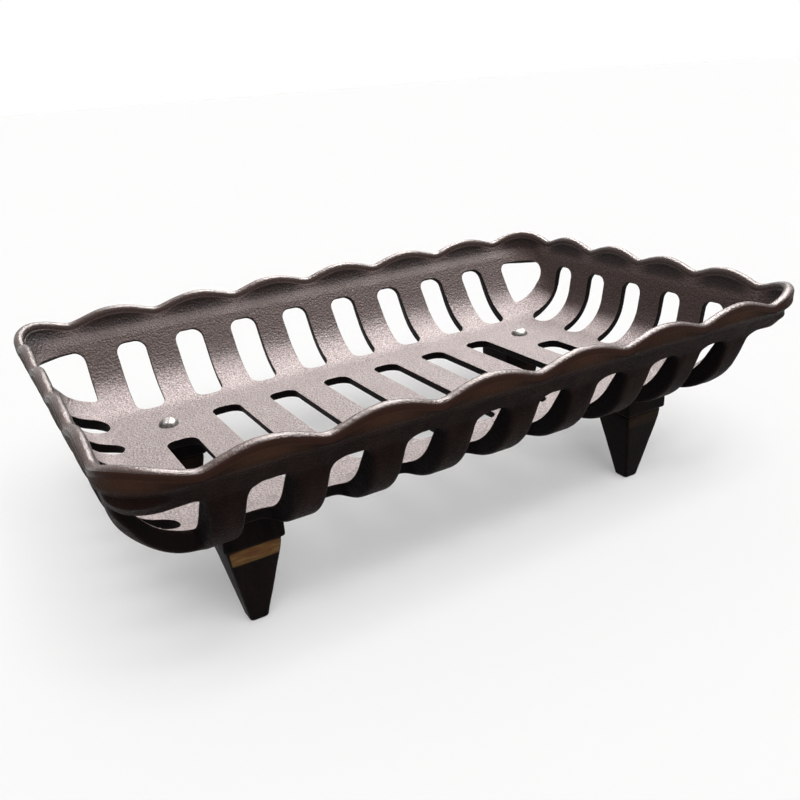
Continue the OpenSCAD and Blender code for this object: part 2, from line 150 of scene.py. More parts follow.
def surface(flat):
    """Places on the inner face for places on the flat map, with their t and corner angle."""
    x, y = np.abs(flat[:, 0]), np.abs(flat[:, 1])
    t = height_share(x, y)
    cx, cy = flat_corner(t)
    dx, dy = x - cx, y - cy
    end_run, end_z, _ = end_level(t)
    side_run, side_z, _ = side_level(t)
    real_cx = FLOOR_X + end_run - corner_radius(t, 0.0)
    real_cy = FLOOR_Y + side_run - corner_radius(t, math.pi / 2)
    corner = (dx > 0) & (dy > 0) & (t > 0)
    on_side = ~corner & (dx <= 0) & (dy > 0)
    corner_angle = np.arctan2(dy, np.maximum(dx, 1e-9))
    angle = np.where(corner, corner_angle, np.where(on_side, math.pi / 2, 0.0))
    r = corner_radius(t, angle)
    wall_x = np.where(on_side, x * real_cx / cx, FLOOR_X + end_run)
    wall_y = np.where(on_side, FLOOR_Y + side_run, y * real_cy / cy)
    px = np.where(corner, real_cx + r * np.cos(angle), wall_x)
    py = np.where(corner, real_cy + r * np.sin(angle), wall_y)
    pz = end_z + (side_z - end_z) * np.sin(angle) ** 2
    on_floor = t <= 0
    px, py, pz = np.where(on_floor, x, px), np.where(on_floor, y, py), np.where(on_floor, 0, pz)
    point = np.stack([np.copysign(px, flat[:, 0]), np.copysign(py, flat[:, 1]), pz], 1)
    return point, t, angle


NORMAL_REACH = 4.0


def normals(flat):
    """Unit normals of the inner face, into the basket, evened out over a few millimetres."""
    along_x, along_y = (surface(flat + step)[0] - surface(flat - step)[0]
                        for step in np.eye(2) * NORMAL_REACH)
    n = np.cross(along_x, along_y)
    return n / np.linalg.norm(n, axis=1)[:, None]


# -------- slots and openings
def wall_length(run, rise, slope, bend_r, bend_l):
    """Distance up a wall's inner face at a run and a rise from the foot of its bend."""
    turn = np.arctan2(run, bend_r - rise)
    above = bend_l + ((run - bend_r * math.sin(slope)) * math.cos(slope)
                      + (rise - bend_r * (1 - math.cos(slope))) * math.sin(slope))
    return np.where((turn < slope) & (run > 0), bend_r * turn, np.where(run > 0, above, run))


def rounded(p, q, r):
    """Signed distance to two edges that meet in a round corner, from distances past its middle."""
    return np.hypot(np.maximum(p, 0), np.maximum(q, 0)) + np.minimum(np.maximum(p, q), 0) - r


def round_slot(u, v, half_w, low, high, low_r, high_r):
    """Signed distance to a slot with round ends, less than 0 in the slot."""
    r = np.where(v < (low + high) / 2, low_r, high_r)
    return rounded(np.abs(u) - half_w + r, np.maximum(low + r - v, v - high + r), r)


FLOOR_HALF = FLOOR_Y + SIDE_FOOT - FLOOR_BAND
# The screw hole's number among the openings that raw_levels lists
SCREW_HOLE = 2 * SIDE_SLOTS + END_SLOTS + 1


def raw_levels(flat):
    """Signed distance to each opening of a quadrant: slots, corner opening and screw hole."""
    p = surface(flat)[0]
    x, y, z = np.abs(p[:, 0]), np.abs(p[:, 1]), p[:, 2]
    up_side = wall_length(y - FLOOR_Y, z, SIDE_SLOPE, SIDE_R, SIDE_BEND_L)
    up_end = wall_length(x - FLOOR_X, z, END_SLOPE, END_R, END_BEND_L)
    r = SLOT_CORNER_R
    levels = []
    for i in range(SIDE_SLOTS):
        aside = x - (i + 0.5) * PITCH
        reach = SHORT_SLOT / 2 if i == SIDE_SLOTS - 1 else FLOOR_HALF
        levels.append(round_slot(aside, y, FLOOR_SLOT_W / 2, -reach, reach, r, r))
        levels.append(round_slot(aside, up_side, SLOT_W / 2, SIDE_FOOT, SIDE_TOP, r, r))
    for i in range(END_SLOTS):
        aside = y - i * END_PITCH
        levels.append(round_slot(aside, up_end, END_SLOT_W / 2, END_FOOT, END_TOP, END_FOOT_R, r))
    in_x = x - ((SIDE_SLOTS + 0.5) * PITCH - SLOT_W / 2)
    in_y = y - ((END_SLOTS - 1) * END_PITCH + END_SLOT_W / 2 + END_CORNER_BAR)
    in_z = SLOT_TOP - z
    tip = rounded(CORNER_TIP_R - in_x, CORNER_TIP_R - in_y, CORNER_TIP_R)
    side_top = rounded(r - in_x, r - in_z, r)
    end_top = rounded(CORNER_TOP_R - in_y, CORNER_TOP_R - in_z, CORNER_TOP_R)
    levels.append(np.maximum(np.maximum(tip, side_top), end_top))
    levels.append(np.hypot(x - SCREW_X, y - SCREW_Y) - HOLE_R)
    return np.stack(levels)


GRADIENT_STEP, LEAST_SLOPE, MOST_SLOPE = 0.2, 0.55, 1.5


def level(flat):
    """Distance along the face to the nearest opening, the way away from it, and its number."""
    here = raw_levels(flat)
    gx, gy = ((raw_levels(flat + step) - raw_levels(flat - step)) / (2 * GRADIENT_STEP)
              for step in np.eye(2) * GRADIENT_STEP)
    near = here / np.clip(np.hypot(gx, gy), LEAST_SLOPE, MOST_SLOPE)
    pick = near.argmin(0)
    column = np.arange(flat.shape[0])
    g = np.stack([gx[pick, column], gy[pick, column]], 1)
    return near[pick, column], g / np.maximum(np.linalg.norm(g, axis=1), 1e-9)[:, None], pick


def smooth_step(low, high, value):
    s = np.clip((value - low) / (high - low), 0, 1)
    return s * s * (3 - 2 * s)


def depth_of(flat):
    """Depth of the outer face below the inner face: the plate, the bars' ribs and the corners."""
    p, t, angle = surface(flat)
    x, y, z = np.abs(p[:, 0]), np.abs(p[:, 1]), p[:, 2]
    up = wall_length(y - FLOOR_Y, z, SIDE_SLOPE, SIDE_R, SIDE_BEND_L)
    share = np.clip(up / SIDE_TOP, 0, 1)
    rise = (RIB_RISE + RIB_SUNK) * np.sin(math.pi * share ** RIB_LEAN) ** RIB_FULL - RIB_SUNK
    lateral = np.abs(x - PITCH * np.round(x / PITCH))
    bar = 1 - smooth_step(RIB_TOP_HALF, RIB_FOOT_HALF, lateral)
    fade = 1 - smooth_step(RIB_FADE_FROM, RIB_FADE_TO, x)
    rib = np.maximum(rise, 0) * bar * fade
    corner = np.sin(angle) ** 2 * np.sqrt(np.abs(np.sin(2 * angle)))
    swell = CORNER_RISE * RIB_RISE * corner * np.sin(math.pi * np.clip(t, 0, 1) ** RIB_LEAN)
    return IRON_T + (rib ** 3 + swell ** 3) ** (1 / 3)


def placed(flat, depth):
    """Points below the inner face, in mm, with z from the ground."""
    p = surface(flat)[0] - normals(flat) * depth[:, None]
    p[:, 2] += FLOOR_Z
    return p


# -------- the rim's places, one quadrant
VALLEY_SOFTNESS = 0.2
END_SCALLOP_L = (RIM_Y - CORNER_REACH) / END_SCALLOPS
SIDE_SCALLOP_L = (RIM_X - CORNER_REACH) / SIDE_SCALLOPS
# Places along one scallop of an end, of a side and of a corner
END_STEPS, SIDE_STEPS, CORNER_STEPS = 28, 32, 34


def crest(phase):
    """Share of the scallops' rise along one of them, 0 in its soft valleys and 1 on top."""
    soft = VALLEY_SOFTNESS ** 2
    top = math.sqrt(1 + soft) - VALLEY_SOFTNESS
    return (math.sqrt(math.sin(math.pi * phase) ** 2 + soft) - VALLEY_SOFTNESS) / top


def rim_places():
    """[x, y, direction outward, crest height] from the middle of an end to the middle of a side."""
    places = []
    for i in range(END_SCALLOPS * END_STEPS):
        places.append((RIM_X, i / END_STEPS * END_SCALLOP_L, 0.0, crest(i / END_STEPS)))
    run_end = RIM_Y - RIM_R - END_SCALLOPS * END_SCALLOP_L
    run_side = RIM_X - RIM_R - SIDE_SCALLOPS * SIDE_SCALLOP_L
    arc = RIM_R * math.pi / 2
    length = run_end + arc + run_side
    for i in range(CORNER_STEPS):
        s = i / CORNER_STEPS * length
        turn = min(max((s - run_end) / arc, 0), 1) * math.pi / 2
        x = RIM_X - RIM_R + RIM_R * math.cos(turn) - max(s - run_end - arc, 0)
        y = RIM_Y - RIM_R + RIM_R * math.sin(turn) - max(run_end - s, 0)
        places.append((x, y, turn, crest(i / CORNER_STEPS)))
    for i in range(SIDE_SCALLOPS * SIDE_STEPS, -1, -1):
        places.append((i / SIDE_STEPS * SIDE_SCALLOP_L, RIM_Y, math.pi / 2, crest(i / SIDE_STEPS)))
    return places


# t at the rim band's feet, and whether they are on the outer face
INNER_TOP, OUTER_TOP = (2.0, False), (2.2, True)
LOOP_POINTS = 500


def foot_line(places, t, outer):
    """The flat map's places on the loop at t, inner or outer face, straight below the rim's places."""
    cx, cy = flat_corner(np.float64(t))
    ease = np.linspace(0, 1, LOOP_POINTS)
    arc = ease * math.pi / 2
    r = corner_radius(t, arc)
    loop = np.vstack([np.stack([np.full(LOOP_POINTS, cx + r[0]), ease * cy], 1)[:-1],
                      np.stack([cx + r * np.cos(arc), cy + r * np.sin(arc)], 1),
                      np.stack([(1 - ease) * cx, np.full(LOOP_POINTS, cy + r[-1])], 1)[1:]])
    points = placed(loop, depth_of(loop) * outer)
    line = []
    for x, y, turn, _ in places:
        aside = (points[:, 1] - y) * math.cos(turn) - (points[:, 0] - x) * math.sin(turn)
        line.append([np.interp(0, aside, loop[:, 0]), np.interp(0, aside, loop[:, 1])])
    line[0][1] = line[-1][0] = 0.0
    return np.array(line)


def chaikin(points, rounds):
    """Corner-cutting on an open line of points, with its ends kept."""
    for _ in range(rounds):
        cut = [points[0]]
        for a, b in zip(points[:-1], points[1:]):
            cut += [0.75 * a + 0.25 * b, 0.25 * a + 0.75 * b]
        points = cut + [points[-1]]
    return points


def between(low, high, share):
    """Numbers at a share of the way between two groups."""
    return np.array(low) + (np.array(high) - np.array(low)) * share


# The rim band's section, outward from the bead's middle line and up from the floor. The hollow
# inside under the bead and the cove outside under it change from the valleys to the crests.
HOLLOW_LOW = ((-7.6, 68.6), (-5.9, 72.0), (-5.3, 73.8))
HOLLOW_HIGH = ((-7.2, 69.6), (-4.6, 74.2), (-3.4, 78.6))
COVE_LOW = (BEAD_R - 0.6, VALLEY_Z - 3.2)
COVE_HIGH = (BEAD_R - 0.9, VALLEY_Z + SCALLOP_RISE - 4.4)
BEAD_FROM, BEAD_TO = 208, -24
FASCIA_Z = BAND_H + 9.0
STEP_Z = FASCIA_Z - 1.6
FASCIA_EDGE = (0.2, 0.6)
BULGE_OUT, BULGE_UP, BULGE_DROP = 0.42, 0.4, 0.6
INNER_EASE, OUTER_EASE = 4.0, 2.4
# Rows of the section: on the inside, as the rounds of corner-cutting leave them, and on the bead
CUT_ROUNDS = 2
INNER_ROWS = 2 ** CUT_ROUNDS * (len(HOLLOW_LOW) + 3) - 1
BEAD_ROWS = 18


def band_section(foot, tangent, outer_foot, outer_tangent, share, lift):
    """The rim band's section as [outward from the bead's middle, height above the floor]."""
    centre = VALLEY_Z + SCALLOP_RISE * lift
    bead = []
    for degrees in np.linspace(BEAD_FROM, BEAD_TO, BEAD_ROWS):
        a = math.radians(degrees)
        bead.append(np.array([BEAD_R * math.cos(a), centre + BEAD_R * math.sin(a)]))
    hollow = [between(low, high, lift) for low, high in zip(HOLLOW_LOW, HOLLOW_HIGH)]
    inner = [foot, foot + INNER_EASE * tangent, *hollow, bead[0]]
    slope, flare = between((END_SLOPE, END_FLARE), (SIDE_SLOPE, SIDE_FLARE), share)
    wall_z = BAND_H - IRON_T * math.cos(slope)
    step_x = IRON_T * math.sin(slope) - flare + (STEP_Z - wall_z) / math.tan(slope)
    edge = np.array([step_x + FASCIA_T, FASCIA_Z])
    bulge = np.array([(BEAD_R + edge[0]) / 2 + (BEAD_R - edge[0]) * BULGE_OUT * lift,
                      centre * BULGE_UP + FASCIA_Z * (1 - BULGE_UP) - BULGE_DROP])
    outer = [bead[-1], between(COVE_LOW, COVE_HIGH, lift), bulge, edge + FASCIA_EDGE, edge,
             np.array([step_x, STEP_Z]), outer_foot + OUTER_EASE * outer_tangent, outer_foot]
    return chaikin(inner, CUT_ROUNDS)[:-1] + bead + chaikin(outer, CUT_ROUNDS)[1:]


def band_tags(count, lifts):
    """The band's rows' shares of inside, bead, cut and crest, which fade over a few rows. The crest
    share places painted shade under the bead inside and a painted lighter tone on the fascia outside.
    """
    tags, none = [], np.zeros(len(lifts))
    for row in range(count):
        on_bead, past = row - INNER_ROWS, row - INNER_ROWS - BEAD_ROWS
        inside = 1 if on_bead <= BEAD_ROWS * 2 // 3 else 0
        bead = min(smooth_step(-4, 2, on_bead), 1 - smooth_step(-3, 3, past))
        inner = smooth_step(7, 12, row) * (1 - smooth_step(-3, 1, on_bead))
        outer = smooth_step(-3, 1, past) * (1 - smooth_step(6, 16, past))
        # Crest share for the paint: shade under the bead on the inner rows, light on the fascia's rows
        # outside.
        crests = np.minimum(1.6 * lifts, 1) * inner + lifts * outer
        tags.append((none + inside, none + bead, none, crests))
    return tags


# -------- triangulated faces
def trace(values, xs, ys, wanted):
    """Lines where a gridded field crosses a value, each a list of places and whether it is closed."""
    inside = values < wanted
    edges, links = {}, {}

    def crossing(*ends):
        key = a, b = min(ends), max(ends)
        if key not in edges:
            s = (wanted - values[a]) / (values[b] - values[a])
            edges[key] = (xs[a[0]] + s * (xs[b[0]] - xs[a[0]]), ys[a[1]] + s * (ys[b[1]] - ys[a[1]]))
        return key

    first = inside[:-1, :-1]
    mixed = (first != inside[1:, :-1]) | (first != inside[:-1, 1:]) | (first != inside[1:, 1:])
    for i, j in np.argwhere(mixed).tolist():
        ring = [(i, j), (i + 1, j), (i + 1, j + 1), (i, j + 1), (i, j)]
        cut = [crossing(a, b) for a, b in zip(ring[:-1], ring[1:]) if inside[a] != inside[b]]
        for a, b in ([cut] if len(cut) == 2 else [cut[:2], cut[2:]]):
            links.setdefault(a, []).append(b)
            links.setdefault(b, []).append(a)
    lines, done = [], set()
    for start in sorted(links, key=lambda key: (len(links[key]), key)):
        line, onward = [], [start]
        while onward := [key for key in onward if key not in done]:
            line.append(onward[0])
            done.add(onward[0])
            onward = links[onward[0]]
        if line:
            lines.append((np.array([edges[key] for key in line]), len(links[start]) == 2))
    return lines


LEAST_POINTS = 12


def resampled(line, closed, spacing):
    """A line with its places evenly spaced, which keeps an open line's ends."""
    if closed:
        line = np.vstack([line, line[:1]])
    along = np.concatenate([[0], np.cumsum(np.linalg.norm(np.diff(line, axis=0), axis=1))])
    count = max(LEAST_POINTS, int(round(along[-1] / spacing)))
    at = np.linspace(0, along[-1], count + 1)
    out = np.stack([np.interp(at, along, line[:, 0]), np.interp(at, along, line[:, 1])], 1)
    return out[:-1] if closed else out


# The openings' edges: radius inside, radius at the back, the same for a screw hole, and flare
EDGE_R, BACK_R, HOLE_BACK_R, SLOT_FLARE = 1.3, 3.6, 0.4, 2.5
# How far out an edge's rows begin on the inner face and end on the outer face
START, FINISH = EDGE_R + 0.5, 0.8
# Steps of the tracing grid, of the triangles, and along the lines of slots and of screw holes
GRID, SPACING, SLOT_STEP, HOLE_STEP = 1.0, 3.6, 2.2, 1.8
SHORT_LINE, SETTLING_ROUNDS = 40, 3


def slot_lines():
    """The lines where the openings' round inner edges begin, one list of places each."""
    xs = np.arange(0, FLOOR_X + END_BEND_L + END_STRAIGHT + 1, GRID)
    ys = np.arange(0, FLOOR_Y + SIDE_BEND_L + SIDE_STRAIGHT + 1, GRID)
    grid = np.stack(np.meshgrid(xs, ys, indexing="ij"), -1).reshape(-1, 2)
    values = level(grid)[0].reshape(len(xs), len(ys))
    lines = []
    for line, closed in trace(values, xs, ys, START):
        points = resampled(line, closed, SLOT_STEP if len(line) > SHORT_LINE else HOLE_STEP)
        for _ in range(SETTLING_ROUNDS):
            off, n, _ = level(points)
            points = points - n * (off - START)[:, None]
            if not closed:
                points[0, 1] = points[-1, 1] = 0.0
        # Each line runs with the iron on its left
        along = points[1] - points[0]
        away = level(points[:1])[1][0]
        if along[0] * away[1] - along[1] * away[0] < 0:
            points = points[::-1].copy()
        lines.append((points, closed))
    return lines


# The grid's row height as a share of its spacing, and its distance from the rim and the openings
ROW_RATIO, RIM_GAP, LINE_GAP = 0.866, 1.4, 1.5
# How far into the openings and off the x axis the helper places lie
HELPER_IN, HELPER_OFF = 1.6, 0.5


def staggered_grid(x_far, y_far):
    """Places of nearly even triangles over one quadrant of the flat map."""
    rows, count = int(y_far / (SPACING * ROW_RATIO)), int(x_far / SPACING)
    grid = []
    for j in range(rows):
        y = j * y_far / rows
        shift = 0.5 if j % 2 else 0
        grid += [((i + shift) * x_far / count, y) for i in range(count + 1)]
        if j % 2:
            grid.append((0.0, y))
    return np.array(grid)


def axis_edges(spots, along):
    """Edges between neighbours on the flat map's x axis, along 0, or y axis, along 1."""
    on_axis = [i for i, spot in enumerate(spots) if abs(spot[1 - along]) < 1e-7]
    on_axis.sort(key=lambda i: spots[i][along])
    return list(zip(on_axis[:-1], on_axis[1:]))


def largest_stretch(faces, walls):
    """The faces of the largest stretch that no edge in walls cuts through."""
    beside = {}
    for k, f in enumerate(faces):
        for edge in zip(f, f[1:] + f[:1]):
            beside.setdefault(tuple(sorted(edge)), []).append(k)
    linked = [[] for _ in faces]
    for edge, pair in beside.items():
        if len(pair) == 2 and edge not in walls:
            linked[pair[0]].append(pair[1])
            linked[pair[1]].append(pair[0])
    seen, best = set(), []
    for seed in range(len(faces)):
        if seed in seen:
            continue
        seen.add(seed)
        found, queue = [seed], [seed]
        while queue:
            for k in linked[queue.pop()]:
                if k not in seen:
                    seen.add(k)
                    found.append(k)
                    queue.append(k)
        best = max(best, found, key=len)
    return [faces[k] for k in best]


def sheet(lines, edge_level, places, top):
    """Triangles of one face of the casting over the flat map, with its openings left out."""
    spots, edges = [], []
    for line, closed in lines:
        first, last = len(spots), len(spots) + len(line) - 1
        spots += [tuple(p) for p in line.tolist()]
        edges += [(i, i + 1) for i in range(first, last)]
        if closed:
            edges.append((last, first))
    rim = [tuple(p) for p in foot_line(places, *top).tolist()]
    edges += [(len(spots) + i, len(spots) + i + 1) for i in range(len(rim) - 1)]
    spots += rim
    grid = staggered_grid(rim[0][0], rim[-1][1])
    past_rim = outside(grid[:, 0], grid[:, 1], np.full(len(grid), top[0]))
    keep = (past_rim < -RIM_GAP) & (level(grid)[0] > edge_level + LINE_GAP)
    spots += [tuple(p) for p in grid[keep].tolist()]
    # Helper places in the openings, where the triangles are left out
    for line, _ in lines:
        helpers = (line - level(line)[1] * HELPER_IN)[::2]
        spots += [tuple(p) for p in helpers.tolist() if p[1] > HELPER_OFF]
    edges += axis_edges(spots, 0) + axis_edges(spots, 1)
    out = delaunay_2d_cdt([Vector(s) for s in spots], edges, [], 0, 1e-6, True)
    flat = np.array([tuple(v) for v in out[0]])
    walls = {tuple(sorted(e)) for e, given in zip(out[1], out[4]) if given}
    faces = largest_stretch([tuple(f) for f in out[2]], walls)
    used = sorted({k for f in faces for k in f})
    number = {k: i for i, k in enumerate(used)}
    return flat[used], [tuple(number[k] for k in f) for f in faces]


class Builder:
    """Points and faces of one quadrant of the basket."""

    def __init__(self):
        self.points, self.faces, self.tags = [], [], []

    def add(self, points, tag):
        """Adds points with their shares of inside, bead, cut and crest, for the material."""
        start = len(self.points)
        self.points += [tuple(p) for p in points.tolist()]
        self.tags += np.broadcast_to(np.array(tag, float).T, (len(points), 4)).tolist()
        return start

    def grid(self, rows, tags, closed):
        """Quads between rows of points with the same count."""
        starts = [self.add(row, tag) for row, tag in zip(rows, tags)]
        n = len(rows[0])
        for a, b in zip(starts[:-1], starts[1:]):
            for i in range(n if closed else n - 1):
                j = (i + 1) % n
                self.faces.append((a + i, a + j, b + j, b + i))


def quarter(rows, start=0.0):
    """Even angles of a quarter turn."""
    return np.linspace(start, math.pi / 2, rows)


# Rows of an opening's edge: round its inner and back radius, and shares of the wall between them
EDGE_ROWS, BACK_ROWS, WALL_SHARES = 5, 7, (0.33, 0.66)
FLARE_ROUNDS, CUT_FADE = 4, 0.6


def add_opening_edge(build, line, closed):
    """The edge of one opening, from the inner face to the outer face, whose line it gives back."""
    _, n, pick = level(line)
    flare, back_r = (0.0, HOLE_BACK_R) if pick[0] == SCREW_HOLE else (SLOT_FLARE, BACK_R)
    wall = np.full(len(line), flare)
    for _ in range(FLARE_ROUNDS):
        deep = depth_of(line + n * (wall + back_r - START)[:, None])
        wall = flare * (deep - back_r - EDGE_R) / IRON_T
    even = np.zeros(len(line))
    # The cut share marks the opening's walls, which the materials paint dark as shade.
    rows, tags = [(even + START, even)], [(1, 0, 0, 0)]
    for a in quarter(EDGE_ROWS):
        rows.append((even + EDGE_R * (1 - math.sin(a)), even + EDGE_R * (1 - math.cos(a))))
        tags.append((1 - a * CUT_FADE, 0, a * CUT_FADE, 0))
    for share in WALL_SHARES:
        rows.append((wall * share, EDGE_R + (deep - back_r - EDGE_R) * share))
        tags.append((0, 0, 1, 0))
    for a in quarter(BACK_ROWS):
        rows.append((wall + back_r * (1 - math.cos(a)), deep - back_r * (1 - math.sin(a))))
        tags.append((0, 0, 1 - a * CUT_FADE, 0))
    rings = [placed(line + n * (off - START)[:, None], depth) for off, depth in rows]
    back = line + n * (wall + back_r + FINISH - START)[:, None]
    build.grid(rings + [placed(back, depth_of(back))], tags + [(0, 0, 0, 0)], closed)
    return back


def add_rim_band(build, places):
    """The rim band, from the inner face over the bead to the outer face."""
    foot_flat, top_flat = foot_line(places, *INNER_TOP), foot_line(places, *OUTER_TOP)
    first_row, last_row = placed(foot_flat, np.zeros(len(places))), placed(top_flat, depth_of(top_flat))
    foot, foot_n = surface(foot_flat)[0], normals(foot_flat)
    top, top_n = last_row - [0, 0, FLOOR_Z], normals(top_flat)
    columns = []
    for (x, y, turn, lift), *wall in zip(places, foot, foot_n, top, top_n):
        out = np.array([math.cos(turn), math.sin(turn)])
        inner, outer = (np.array([(p[:2] - [x, y]) @ out, p[2]]) for p in wall[::2])
        slopes = (np.array([n[2], -(n[:2] @ out)]) for n in wall[1::2])
        tangent, outer_tangent = (v / np.linalg.norm(v) for v in slopes)
        section = band_section(inner, tangent, outer, outer_tangent, math.sin(turn) ** 2, lift)
        columns.append([(x + out[0] * o, y + out[1] * o, z + FLOOR_Z) for o, z in section])
    rows = [first_row, *np.array(columns).transpose(1, 0, 2)[1:-1], last_row]
    start = len(build.faces)
    build.grid(rows, band_tags(len(rows), np.array([place[3] for place in places])), False)
    build.faces[start:] = [f[::-1] for f in build.faces[start:]]


def basket_quadrant():
    """The basket's quadrant towards +X and +Y, in mm."""
    build, places, lines = Builder(), rim_places(), slot_lines()
    flat, faces = sheet(lines, START, places, INNER_TOP)
    start = build.add(placed(flat, np.zeros(len(flat))), (1, 0, 0, 0))
    build.faces += [tuple(start + k for k in f) for f in faces]
    back_lines = [(add_opening_edge(build, line, closed), closed) for line, closed in lines]
    flat, faces = sheet(back_lines, SLOT_FLARE + BACK_R, places, OUTER_TOP)
    start = build.add(placed(flat, depth_of(flat)), (0, 0, 0, 0))
    build.faces += [tuple(start + k for k in f[::-1]) for f in faces]
    add_rim_band(build, places)
    return build


# Slight waves of the castings' skins: [scale, height], in metres, and their shares on the basket
BASKET_WAVES, LEG_WAVES = ((38.0, 0.00022), (110.0, 0.00010)), ((60.0, 0.00025), (160.0, 0.0001))
PLAIN_WAVE, BEAD_WAVE = 0.6, 1.2
# How far the bead is drawn in, so that its waves stay in the part's box
BEAD_SLACK = 0.00055
WELD, INSIDE_SHARE = 4e-6, 0.45


def skin_wave(place, waves):
    """Height of a casting's waves at a place, in metres."""
    return sum(noise.noise(place * scale) * height for scale, height in waves)


def make_basket():
    """The basket as one closed mesh, from four mirrored copies of its quadrant."""
    build = basket_quadrant()
    points = np.array(build.points) * MM
    bm = bmesh.new()
    layers = [bm.verts.layers.float.new(name) for name in ("inside", "bead", "cut", "crest")]
    for sx, sy in ((1, 1), (-1, 1), (-1, -1), (1, -1)):
        verts = [bm.verts.new((x * sx, y * sy, z)) for x, y, z in points]
        for vert, tag in zip(verts, build.tags):
            for layer, value in zip(layers, tag):
                vert[layer] = value
        for f in build.faces:
            bm.faces.new([verts[k] for k in (f if sx * sy > 0 else f[::-1])])
    bmesh.ops.remove_doubles(bm, verts=bm.verts, dist=WELD)
    bmesh.ops.recalc_face_normals(bm, faces=bm.faces)
    for vert in bm.verts:
        bead = vert[layers[1]]
        wave = skin_wave(vert.co, BASKET_WAVES) * (bead * BEAD_WAVE + PLAIN_WAVE)
        vert.co += vert.normal * (wave - bead * BEAD_SLACK)
    for f in bm.faces:
        inside = sum(v[layers[0]] for v in f.verts) / len(f.verts)
        f.material_index = 0 if inside > INSIDE_SHARE else 1
    return finished(bm, "basket_casting")


def finished(bm, name):
    """The mesh as a smooth object in the scene."""
    for f in bm.faces:
        f.smooth = True
    mesh = bpy.data.meshes.new(name)
    bm.to_mesh(mesh)
    bm.free()
    mesh.validate()
    ob = bpy.data.objects.new(name, mesh)
    bpy.context.scene.collection.objects.link(ob)
    return ob


def join_rings(bm, rings):
    """Quads between rings of points with the same count."""
    n = len(rings[0])
    for above, below in zip(rings[:-1], rings[1:]):
        for i in range(n):
            j = (i + 1) % n
            bm.faces.new((above[i], below[i], below[j], above[j]))


# -------- legs, in mm from their own axis
LEG_X, LEG_Y, LEG_H = 197.5, 91.5, 97.5
BLOCK_HALF, BLOCK_H, BLOCK_STEP = 24.0, 23.0, 2.5
NECK_H, NECK_HALF, NECK_CURVE = 14.5, 19.5, 1.35
GROOVE_IN, GROOVE_H, LIP_IN, LIP_H = 1.6, 0.15, 1.9, 2.4
FOOT_HALF, FOOT_R, FOOT_START = 8.0, 3.5, 0.2
# Radius of the top's edge, and of the upright edges from the top down
TOP_EDGE_R, TOP_R, BLOCK_R, NECK_R, TAPER_R, FOOT_CORNER_R = 0.8, 1.6, 2.0, 3.2, 2.3, 2.6
HOLE_DEPTH, LEG_HOLE_R, HOLE_AROUND, HOLE_RINGS = 22.0, 4.05, 32, 8
# Heights at the foot and at the top that have no waves
STILL_FOOT, STILL_TOP = 2.0, 1.0


def leg_profile():
    """[height, half width, radius of the upright edges, share of neck] from the top down."""
    neck_z = LEG_H - BLOCK_H
    taper_z = neck_z - NECK_H
    shank = BLOCK_HALF - BLOCK_STEP
    rows = []
    for a in quarter(4):
        inset = TOP_EDGE_R * (1 - math.sin(a))
        rows.append((LEG_H - TOP_EDGE_R * (1 - math.cos(a)), BLOCK_HALF - inset, TOP_R, 0))
    for z in np.linspace(LEG_H - 2, neck_z + BLOCK_STEP + 1, 8):
        rows.append((z, BLOCK_HALF, BLOCK_R, 0))
    for a in quarter(7):
        inset = BLOCK_STEP * (1 - math.cos(a))
        rows.append((neck_z + BLOCK_STEP * (1 - math.sin(a)), BLOCK_HALF - inset, BLOCK_R, 0))
    rows.append((neck_z + GROOVE_H, shank - GROOVE_IN, BLOCK_R, 0))
    for a in quarter(6):
        inset = LIP_IN * (1 - math.sin(a))
        rows.append((neck_z - LIP_H * (1 - math.cos(a)), shank - inset, NECK_R, math.sin(a)))
    for s in np.linspace(0, 1, 9)[1:]:
        z = neck_z - LIP_H - (NECK_H - LIP_H) * s
        half = shank + (NECK_HALF - shank) * s ** NECK_CURVE
        rows.append((z, half, NECK_R + (TAPER_R - NECK_R) * s, 1 - s ** 8))
    for s in np.linspace(0, 1, 21)[1:]:
        rows.append(between((taper_z, NECK_HALF, TAPER_R, 0), (FOOT_R, FOOT_HALF, FOOT_CORNER_R, 0), s))
    for a in quarter(7, FOOT_START):
        inset = FOOT_R * (1 - math.cos(a))
        rows.append((FOOT_R * (1 - math.sin(a)), FOOT_HALF - inset, FOOT_CORNER_R, 0))
    return rows


def square_ring(half, r, corner_steps=6, side_steps=7):
    """A square with round corners, anticlockwise."""
    ring = []
    for k in range(4):
        turn = k * math.pi / 2
        ax, ay = math.cos(turn), math.sin(turn)
        for i in range(side_steps):
            u = (half - r) * (2 * i / side_steps - 1)
            ring.append((half * ax - u * ay, half * ay + u * ax))
        for i in range(corner_steps):
            a = i / corner_steps * math.pi / 2
            cx, cy = half - r + r * math.cos(a), half - r + r * math.sin(a)
            ring.append((cx * ax - cy * ay, cx * ay + cy * ax))
    return ring


def close_top(bm, outline, hole, hx, hy):
    """Triangles between the top's outline and the hole round a place."""
    rim, n = outline + hole, len(outline)
    edges = [(i, (i + 1) % n) for i in range(n)]
    edges += [(n + i, n + (i + 1) % len(hole)) for i in range(len(hole))]
    out = delaunay_2d_cdt([v.co.xy for v in rim], edges, [], 1, 1e-6, True)
    source = [given[0] for given in out[3]]
    for f in out[2]:
        middle = sum((out[0][k] for k in f), Vector((0, 0))) / len(f)
        if (middle - Vector((hx, hy))).length > LEG_HOLE_R:
            bm.faces.new([rim[source[k]] for k in f])


